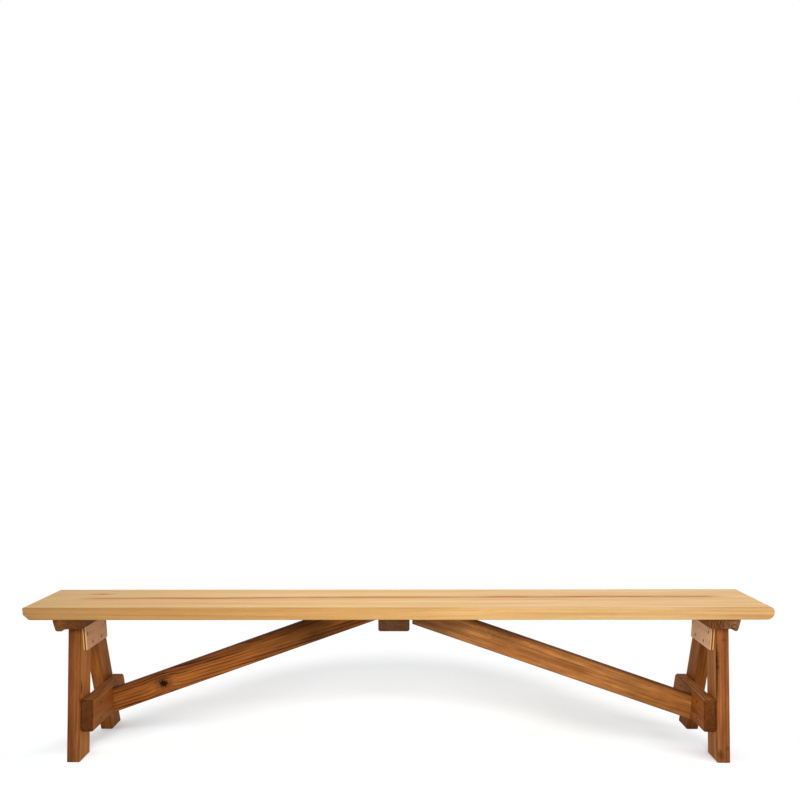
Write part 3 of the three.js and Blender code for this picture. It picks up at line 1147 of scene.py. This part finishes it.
ALONG_X = np.eye(3)
ACROSS = np.array([[0.0, -1.0, 0.0], [1.0, 0.0, 0.0], [0.0, 0.0, 1.0]])


class Side(IntEnum):
    """A side of the bench, as the sign of its X."""

    LEFT = -1
    RIGHT = 1


STAINED = {
    "batten_middle": Wood(
        (114, 74, 46), (78, 48, 30), (106, 67, 42), spacing=0.006, pith=(0.03, -0.06), contrast=0.4,
        end_tint=(0.6, 0.62, 0.6), arris=(0.043, 0.016), seed=21.0,
    ),
    "cleat_left": Wood(
        (130, 82, 42), (82, 48, 24), (114, 70, 35), spacing=0.009, pith=(-0.05, -0.03), seed=31.0,
        end_tint=(0.72, 0.68, 0.6), arris=(0.043, 0.016),
        tones=(Tone(1, 0.0, -0.03, (0.75, 0.68, 0.7)),),
    ),
    "cleat_right": Wood(
        (134, 84, 42), (58, 30, 12), (120, 72, 36), spacing=0.0085, pith=(-0.024, -0.004), wander=0.007,
        onset=0.3, contrast=0.85, end_tint=(0.98, 1.18, 1.9), arris=(0.043, 0.016), seed=37.0,
        tones=(Tone(1, -0.005, 0.02, (0.82, 0.68, 0.52)),),
    ),
    "leg_left_front": Wood(
        (172, 111, 52), (116, 64, 24), (156, 96, 42), spacing=0.0075, contrast=0.42,
        edge_tint=(0.54, 0.47, 0.46), seed=51.0,
        stains_and_shade=(StainAndShade((-907, -132, 205), (26, 7, 9), 0.95), StainAndShade((-907, -150, 170), (14, 6, 6), 0.6)),
        tones=(Tone(2, 0.004, -0.006, (0.8, 0.66, 0.66)), Tone(0, -0.1, -0.19, (1.0, 1.08, 1.25))),
    ),
    "leg_left_back": Wood(
        (155, 94, 37), (100, 53, 17), (146, 88, 34), spacing=0.0065, pith=(-0.03, -0.08), seed=57.0,
        tones=(Tone(0, -0.1, -0.19, (0.78, 0.78, 0.8)),),
    ),
    "leg_right_front": Wood(
        (172, 114, 58), (104, 58, 26), (156, 98, 50), spacing=0.008, contrast=0.42,
        edge_tint=(0.74, 0.6, 0.58), seed=52.0,
        stains_and_shade=(
            StainAndShade((907, -122, 278), (75, 8, 9), 1.0), StainAndShade((907, -138, 212), (60, 8, 8), 0.75),
            StainAndShade((907, -178, 48), (60, 8, 9), 0.75), StainAndShade((930, -113, 338), (5, 12, 16), 0.7),
            StainAndShade((915, -196, 22), (22, 12, 14), 0.6), StainAndShade((935, -192, 40), (9, 8, 10), 0.5),
        ),
        tones=(Tone(0, -0.06, -0.18, (0.95, 0.98, 1.0)),),
    ),
    "leg_right_back": Wood(
        (164, 99, 38), (90, 44, 12), (136, 78, 30), pith=(-0.03, -0.08), contrast=0.7,
        seed=58.0, tones=(Tone(0, -0.1, -0.19, (0.7, 0.66, 0.7)),),
    ),
    "rail_left": Wood(
        (148, 89, 40), (104, 56, 22), (136, 79, 34), spacing=0.01, pith=(0.01, -0.1), contrast=0.28,
        end_tint=(0.34, 0.29, 0.28), end_calm=0.6, end_facing=(0.1, 0.55), seed=63.0,
        tones=(Tone(1, 0.036, 0.043, (0.8, 0.91, 1.1)),),
    ),
    "rail_right": Wood(
        (148, 88, 37), (66, 32, 9), (132, 76, 32), onset=0.5,
        contrast=0.9, end_tint=(0.41, 0.36, 0.32), end_calm=0.65, end_facing=(0.1, 0.55), seed=69.0,
        tones=(Tone(1, 0.036, 0.043, (1.17, 1.45, 2.0)),),
    ),
    # Painted shade of the seat above: edge_tint darkens the narrow edges, the first Tone the strip along the
    # upper edge and the second Tone the brace towards the seat. The third Tone lightens its top end again.
    "brace_left": Wood(
        (156, 93, 38), (72, 34, 10), (146, 84, 34), pith=(-0.12, -0.05), tilt=0.045,
        wander=0.01, onset=0.5, contrast=0.95, edge_from=0.033, edge_tint=(0.6, 0.52, 0.45),
        arris=(0.035, 0.018), seed=73.0, knots=(Knot(-0.263, 0.0, 0.012), Knot(-0.25, 0.036, 0.005)),
        tones=(
            Tone(1, -0.008, -0.02, (0.7, 0.7, 0.78)), Tone(0, -0.08, 0.26, (0.38, 0.42, 0.5)),
            Tone(0, 0.22, 0.36, (2.5, 2.5, 2.2)),
        ),
    ),
    # Painted shade of the seat above: edge_tint darkens the narrow edges, the first Tone the strip along the
    # upper edge, the dark patch a stretch of that edge round X 300 mm, and the last Tone the top end.
    "brace_right": Wood(
        (180, 121, 65), (108, 60, 26), (160, 100, 52), spacing=0.011, pith=(-0.01, -0.07), tilt=0.03,
        onset=0.45, fibre=1.2, blotch=1.3, edge_from=0.033, edge_tint=(0.6, 0.52, 0.45),
        arris=(0.035, 0.018), seed=79.0, stains_and_shade=(StainAndShade((300, -39, 350), (150, 38, 40), 0.45),),
        tones=(
            Tone(1, 0.02, 0.03, (0.62, 0.58, 0.55)), Tone(1, -0.016, -0.03, (0.95, 0.93, 0.92)),
            Tone(0, -0.2, -0.36, (0.84, 0.76, 0.64)), Tone(0, 0.1, 0.3, (1.02, 1.16, 1.24)),
            Tone(0, 0.24, 0.35, (0.68, 0.68, 0.74)),
        ),
    ),
}


def fit_stained(
    node: str, shell: Shell, lay: Lay, bores: Sequence[Shell] = ()
) -> None:
    """Fits a timber in the wood that STAINED names for its node."""
    fit(node, shell, STAINED[node].dress(f"{node}_stain", lay), bores)


@dataclass
class Seat:
    """The seat: one wide plank, chamfered below at its left end and round at its right end."""

    length: float = 2100
    width: float = 300
    ease: float = 3.5
    chamfer: Span = (16, 15)
    left_round: float = 1
    nose_shares: Span = (0.28, 0.42)
    wood: Wood = Wood(
        (248, 207, 146), (216, 154, 86), (240, 190, 120), spacing=0.012, pith=(-0.02, -0.16), tilt=0.006,
        wander=0.02, onset=0.3, contrast=0.45, band_waves=34.0, fibre=0.35, blotch=0.16,
        end_tint=(0.72, 0.66, 0.6), edge_from=0.1465, edge_tint=(0.76, 0.7, 0.58), arris=(0.15, 0.018),
        arris_shade=0.1, gloss=0.5, shine=0.15, seed=5.0,
        tones=(Tone(0, 0.1, 0.6, (0.98, 1.0, 1.08)), Tone(0, -0.3, -0.6, (1.0, 0.98, 0.93))),
    )
    grain: SeatGrain = SeatGrain()

    def build(self) -> None:
        """Builds and dresses the plank."""
        half, turn = self.length / 2, self.left_round
        upper, lower = (share * TIMBER for share in self.nose_shares)
        corners = [
            (-half, 0, turn), (-half, self.chamfer[1] - TIMBER, turn),
            (self.chamfer[0] - half, -TIMBER, turn), (half, -TIMBER, lower), (half, 0, upper),
        ]
        shell = eased_board(corners, self.width, self.ease, seed=3, stride=20, wear=0.12)
        lay = Lay((0.0, 0.0, (SEAT_HEIGHT - TIMBER / 2) * MM))
        finish = self.wood.dress("pale_pine", lay, self.grain.mark)
        shell = shell.moved(ALONG_X, (0, 0, SEAT_HEIGHT * MM))
        fit("seat_board", shell, finish, name="seat_plank")


@dataclass
class Crosspieces:
    """The batten under the middle of the seat, and the cleat over each pair of legs."""

    fasteners: Fasteners
    length: float = 280
    corner_round: float = 3
    batten_round: float = 5
    rebate_round: float = 0.2
    ease: float = 1.2
    bevel: float = 7.48
    shifts: Span = (3, -7)

    def batten_corners(self) -> list[Corner]:
        """Corners of the batten's section."""
        half, turn, lower = TIMBER_WIDTH / 2, self.corner_round, self.batten_round
        return [(-half, 0, turn), (-half, -CROSSPIECE, lower), (half, -CROSSPIECE, lower), (half, 0, turn)]

    def cleat_corners(self, side: Side, shift: float) -> list[Corner]:
        """Corners of a cleat's section, rebated below for the leg tops.

        Args:
            side: Its side.
            shift: How far it stands out past the middle of its trestle.

        Returns:
            The corners.
        """
        half, turn, shallow = TIMBER_WIDTH / 2, self.corner_round, REBATE - CROSSPIECE
        shoulder = TIMBER / 2 + SEAM - shift
        lobe_round = (half - self.bevel - shoulder) / 4
        rows = [
            (-half, 0, turn), (-half, shallow, turn), (shoulder, shallow, self.rebate_round),
            (shoulder, -CROSSPIECE, min(lobe_round, 0.7 * REBATE)),
            (half - self.bevel, -CROSSPIECE, lobe_round), (half, 0, turn),
        ]
        return [(side * across, up, radius) for across, up, radius in rows]

    def build(self) -> None:
        """Builds and dresses the batten and both cleats."""
        pieces = [("batten_middle", "batten_screw", self.batten_corners(), BATTEN_SHIFT)]
        for side, shift in zip(Side, self.shifts):
            name, corners = side.name.lower(), self.cleat_corners(side, shift)
            pieces.append((f"cleat_{name}", f"cleat_screw_{name}", corners, side * (TRESTLE + shift)))
        for seed, (node, screws, corners, middle) in enumerate(pieces, 40):
            shell = eased_board(corners, self.length, self.ease, seed, stride=10)
            shell = shell.moved(ALONG_X, (middle * MM, 0, CROSSPIECE_TOP * MM))
            centre = (middle * MM, 0.0, (CROSSPIECE_TOP - CROSSPIECE / 2) * MM)
            lay = Lay(centre, (0.0, 0.0, math.pi / 2))
            fit_stained(node, shell, lay, self.fasteners.bores(screws))


@dataclass
class Sided:
    """A sub-assembly that stands on one side of the bench."""

    side: Side
    fasteners: Fasteners

    @property
    def name(self) -> str:
        """Word for its side."""
        return self.side.name.lower()


@dataclass
class Trestle(Sided):
    """Two splayed legs, the gusset at their tops and the rail across them."""

    plywood: Plywood
    ease: float = 2.5
    spread: float = 399
    top_gap: float = 10
    gusset: Triple = (12, 184, 72.5)
    gusset_ease: float = 0.6
    gusset_round: float = 0.2
    rail_width: float = 91
    rail_clearance: float = 81
    rail_inset: float = 2
    rail_ease: float = 7
    rail_round: float = 3

    @property
    def slant(self) -> float:
        """Slant of the legs from the vertical, in radians.

        Across one leg, run * cos(slant) - height * sin(slant) = width, where the run is half the
        spread less half the gap.
        """
        run = (self.spread - self.top_gap) / 2
        return math.acos(TIMBER_WIDTH / math.hypot(run, LEG_TOP)) - math.atan2(LEG_TOP, run)

    def reach(self, height: float) -> float:
        """Distance of a leg's outer edge from the middle of the bench at a height."""
        return self.spread / 2 - height * math.tan(self.slant)

    def inside(self, thickness: float) -> float:
        """X of the middle of a plate of some thickness on the legs' inner faces."""
        return self.side * (TRESTLE - TIMBER / 2 - SEAM - thickness / 2)

    def build_legs(self) -> None:
        """Builds and dresses both legs."""
        x, foot, top = self.side * TRESTLE, self.reach(0), self.reach(LEG_TOP)
        level = TIMBER_WIDTH / math.cos(self.slant)
        rows = [(foot - level, 0), (foot, 0), (top, LEG_TOP), (top - level, LEG_TOP)]
        for end, ending in ((-1, "front"), (1, "back")):
            corners = [(end * across, up, 0.0) for across, up in rows]
            shell = eased_board(corners, TIMBER, self.ease, seed=60 + 2 * end + 5 * self.side)
            centre = (x, end * (foot + top - level) / 2, LEG_TOP / 2)
            lay = Lay.along(centre, (0, -end * math.sin(self.slant), math.cos(self.slant)))
            fit_stained(f"leg_{self.name}_{ending}", shell.moved(ACROSS, (x * MM, 0, 0)), lay)

    def build_gusset(self) -> None:
        """Builds and dresses the gusset."""
        deep, long, high = self.gusset
        spots = [(-long / 2, -high), (long / 2, -high), (long / 2, 0), (-long / 2, 0)]
        corners = [(*spot, self.gusset_round) for spot in spots]
        shell = eased_board(corners, deep, self.gusset_ease, seed=80 + self.side)
        shell = shell.moved(ACROSS, (self.inside(deep) * MM, 0, LEG_TOP * MM))
        node, nails = f"gusset_{self.name}", f"gusset_nail_{self.name}"
        finish = self.plywood.dress(node, self.fasteners.heads(nails), 3.0 + self.side)
        fit(node, shell, finish, self.fasteners.bores(nails))

    def build_rail(self) -> None:
        """Builds and dresses the rail."""
        x, tall, turn = self.inside(TIMBER), self.rail_width, self.rail_round
        low, high = (self.reach(self.rail_clearance + up) - self.rail_inset for up in (0, tall))
        corners = [(-low, 0, turn), (low, 0, turn), (high, tall, turn), (-high, tall, turn)]
        shell = eased_board(corners, TIMBER, self.rail_ease, seed=90 + self.side, wear=0.1)
        shell = shell.moved(ACROSS, (x * MM, 0, self.rail_clearance * MM))
        lay = Lay.along((x, 0.0, self.rail_clearance + tall / 2), (0, 1, 0))
        bores = self.fasteners.bores(f"rail_nail_{self.name}", f"brace_foot_screw_{self.name}")
        fit_stained(f"rail_{self.name}", shell, lay, bores)

    def build(self) -> None:
        """Builds the trestle."""
        self.build_legs()
        self.build_gusset()
        self.build_rail()


@dataclass
class Brace(Sided):
    """A sloping brace from a rail up to the seat beside the batten."""

    front: float
    width: float = 70
    ease: float = 6
    spare: float = 20
    foot: float = 79
    nose: float = 35
    batten_gap: float = 8

    def build(self) -> None:
        """Builds and dresses the brace: a long board whose ends are then cut plumb and level."""
        foot_x = TRESTLE - 1.5 * TIMBER - 2 * SEAM
        run = foot_x - TIMBER_WIDTH / 2 - self.batten_gap - self.side * BATTEN_SHIFT
        rise = CROSSPIECE_TOP - self.foot
        slope = math.atan2(rise - self.nose, run)
        foot_height = self.width / math.cos(slope)
        edges = [(along, along * math.tan(slope)) for along in (-self.spare, run + self.spare)]
        edges += [(along, up + foot_height) for along, up in edges[::-1]]
        corners = [(-self.side * along, up, 0.0) for along, up in edges]
        shell = eased_board(corners, TIMBER, self.ease, seed=100 + self.side, stride=14, wear=0.1)
        middle, far = self.front + TIMBER / 2, 2 * self.spare
        place = (self.side * foot_x * MM, middle * MM, self.foot * MM)
        offcuts = [
            block((-far, -far, -far), (0, far, rise)),
            block((run, -far, 0), (run + far, far, rise + far)),
            block((run / 2, -far, rise), (run + far / 2, far, rise + 2 * far)),
        ]
        bores = [offcut.moved(np.diag([-self.side, 1, 1]), place) for offcut in offcuts]
        bores += self.fasteners.bores(f"brace_nose_screw_{self.name}")
        centre_up = self.foot + foot_height / 2 + math.tan(slope) * run / 2
        grain = (-self.side * math.cos(slope), 0, math.sin(slope))
        lay = Lay.along((self.side * (foot_x - run / 2), middle, centre_up), grain)
        fit_stained(f"brace_{self.name}", shell.moved(ALONG_X, place), lay, bores)


# Studio


@dataclass
class Studio:
    """Floor, lamps and camera, with angles in radians and places in metres."""

    yaw: float = -0.00997
    pitch: float = 0.23317
    roll: float = 0.00264
    stand: Triple = (0.03332, -2.73036, 0.93110)
    lens: float = 42.407
    shift: float = 0.3125
    sky: float = 0.6
    floor_size: float = 30.0
    matt: float = 0.8
    plain_tint: Colour = (0.985, 0.995, 1.0)
    warmed_tint: Colour = (0.89, 0.957, 1.0)
    warmed_sides: Span = (0.3, 0.85)
    warmed_depth: Span = (0.5, 0.1)
    warmed_middle: float = 0.4
    glow: Span = (0.03, 0.34)
    glow_arch: Span = (0.65, 0.11)
    glow_border: Span = (0.58, 0.27)
    right_glow: float = 0.08
    right_from: Span = (0.5, 0.8)
    end_glow: float = 0.06
    end_from: Span = (0.5, 0.85)
    fade_arch: Span = (1.15, 0.09)
    fade_border: Span = (0.9, 1.24)
    lamp_reach: Span = (2.2, 3.4)
    lamps: tuple[tuple[str, Triple, Triple, float, float], ...] = (
        ("left", (-3.9, -0.9, 0.8), (-0.3, 0, 0.25), 1.4, 40),
        ("right", (4.1, -0.9, 0.8), (0.4, 0, 0.25), 1.4, 44),
        ("front", (0.1, -7.3, 3.5), (0.05, 0, 0.2), 2.0, 255),
        ("top", (0.4, -0.8, 3.2), (0.2, 0, 0.4), 3.4, 20),
    )

    def place_camera(self) -> None:
        """Sets the camera: turned by its yaw, then pitched down, then rolled about its view."""
        data = bpy.data.cameras.new("camera")
        camera = put("camera", data, sensor_width=36, lens=self.lens, shift_y=self.shift, clip_end=100)
        pose = Matrix.Translation(self.stand)
        for angle, axis in ((-self.yaw, "Z"), (math.pi / 2 - self.pitch, "X"), (-self.roll, "Z")):
            pose = pose @ Matrix.Rotation(angle, 4, axis)
        camera.matrix_world = pose
        bpy.context.scene.camera = camera

    def place_lamps(self) -> None:
        """Adds square soft lamps, each with its name, place, aim, side and power in watts."""
        for name, place, aim, size, power in self.lamps:
            lamp = put(name, bpy.data.lights.new(name, "AREA"), shape="SQUARE", size=size, energy=power)
            lamp.visible_camera = False
            lamp.location = place
            lamp.rotation_euler = (Vector(aim) - Vector(place)).to_track_quat("-Z", "Y").to_euler()

    def lay_floor(self) -> None:
        """Lays the floor: white to the camera, the shadow kept near the bench, clear from below.

        A faint blue tint takes back the warm light that the bench throws in front of it.
        """
        corners = np.array([(-1, -1, 0), (1, -1, 0), (1, 1, 0), (-1, 1, 0)]) * self.floor_size / 2
        floor = put_mesh("floor", corners, [[0, 1, 2, 3]])
        finish = Finish(bpy.data.materials.new("floor_white"))
        coords = finish.add("TexCoord", out="Object")
        across, deep, _ = coords.parts()
        middle = self.warmed_middle
        warmed = abs(across).rise(*self.warmed_sides) * (1 - middle) + middle
        warmed = warmed * deep.rise(*self.warmed_depth)
        bright = finish.add("BsdfDiffuse", sockets={"Color": warmed.mix(self.plain_tint, self.warmed_tint)})
        glow = finish.add("Emission", sockets={"Color": self.glow_level(coords), "Strength": 1.0})
        lifted = finish.add("AddShader", sockets={0: bright, 1: glow})
        white = finish.add("Emission", sockets={"Color": (1, 1, 1), "Strength": 1.0})
        matt = finish.add("BsdfDiffuse", sockets={"Color": (self.matt,) * 3})
        seen = finish.add("LightPath", out="Is Camera Ray")
        below = finish.add("NewGeometry", out="Backfacing")
        shown = seen.between(matt, self.fade(coords).between(lifted, white))
        finish.close(below.between(shown, finish.add("BsdfTransparent")))
        floor.data.materials.append(finish.owner)

    def arch(self, coords: Signal, bend: float, lean: float) -> Signal:
        """Distance in Y of a place from the parabola Y = -bend * X squared - lean * X."""
        across, deep, _ = coords.parts()
        return deep + across * across * bend + across * lean

    def fade(self, coords: Signal) -> Signal:
        """Share of plain white: it rises behind the braces' shadow and where no lamp reaches."""
        behind = self.arch(coords, *self.fade_arch).rise(*self.fade_border)
        return behind.highest(coords.vector("LENGTH", out="Value").rise(*self.lamp_reach))

    def glow_level(self, coords: Signal) -> Signal:
        """Glow that lifts the lit floor to white, paints out the bench's own shade on the floor in front of
        the arch of the shadow, and is weak behind that arch.

        Args:
            coords: Place on the floor.

        Returns:
            The glow's colour.
        """
        across = coords.parts()[0]
        low, high = self.glow
        low = across.rise(*self.right_from) * self.right_glow + low
        lit = self.arch(coords, *self.glow_arch).rise(*self.glow_border)
        # More glow on the right and towards the ends paints the shadow there lighter.
        return lit * (high - low) + low + abs(across).rise(*self.end_from) * self.end_glow

    def set_sky(self) -> None:
        """Sets the sky: white to the camera, and a dimmer white as light."""
        world = bpy.data.worlds.new("studio")
        bpy.context.scene.world = world
        finish = Finish(world, "OutputWorld")
        strength = finish.add("LightPath", out="Is Camera Ray") * (1 - self.sky) + self.sky
        finish.close(finish.add("Background", sockets={"Color": (1, 1, 1), "Strength": strength}))

    def build(self) -> None:
        """Builds the studio."""
        bpy.context.scene.view_settings.view_transform = "Standard"
        self.place_camera()
        self.lay_floor()
        self.set_sky()
        self.place_lamps()
        LOG.info("studio built")


def main() -> None:
    """Builds every sub-assembly in order."""
    logging.basicConfig(level=logging.INFO, format="%(message)s")
    Studio().build()
    fasteners = Fasteners()
    fasteners.build()
    Seat().build()
    Crosspieces(fasteners).build()
    Trestle(Side.LEFT, fasteners, Plywood()).build()
    Trestle(Side.RIGHT, fasteners, Plywood(face=(224, 182, 144), streak=(200, 154, 116))).build()
    Brace(Side.LEFT, fasteners, front=28).build()
    Brace(Side.RIGHT, fasteners, front=-39).build()


if __name__ == "__main__":
    main()
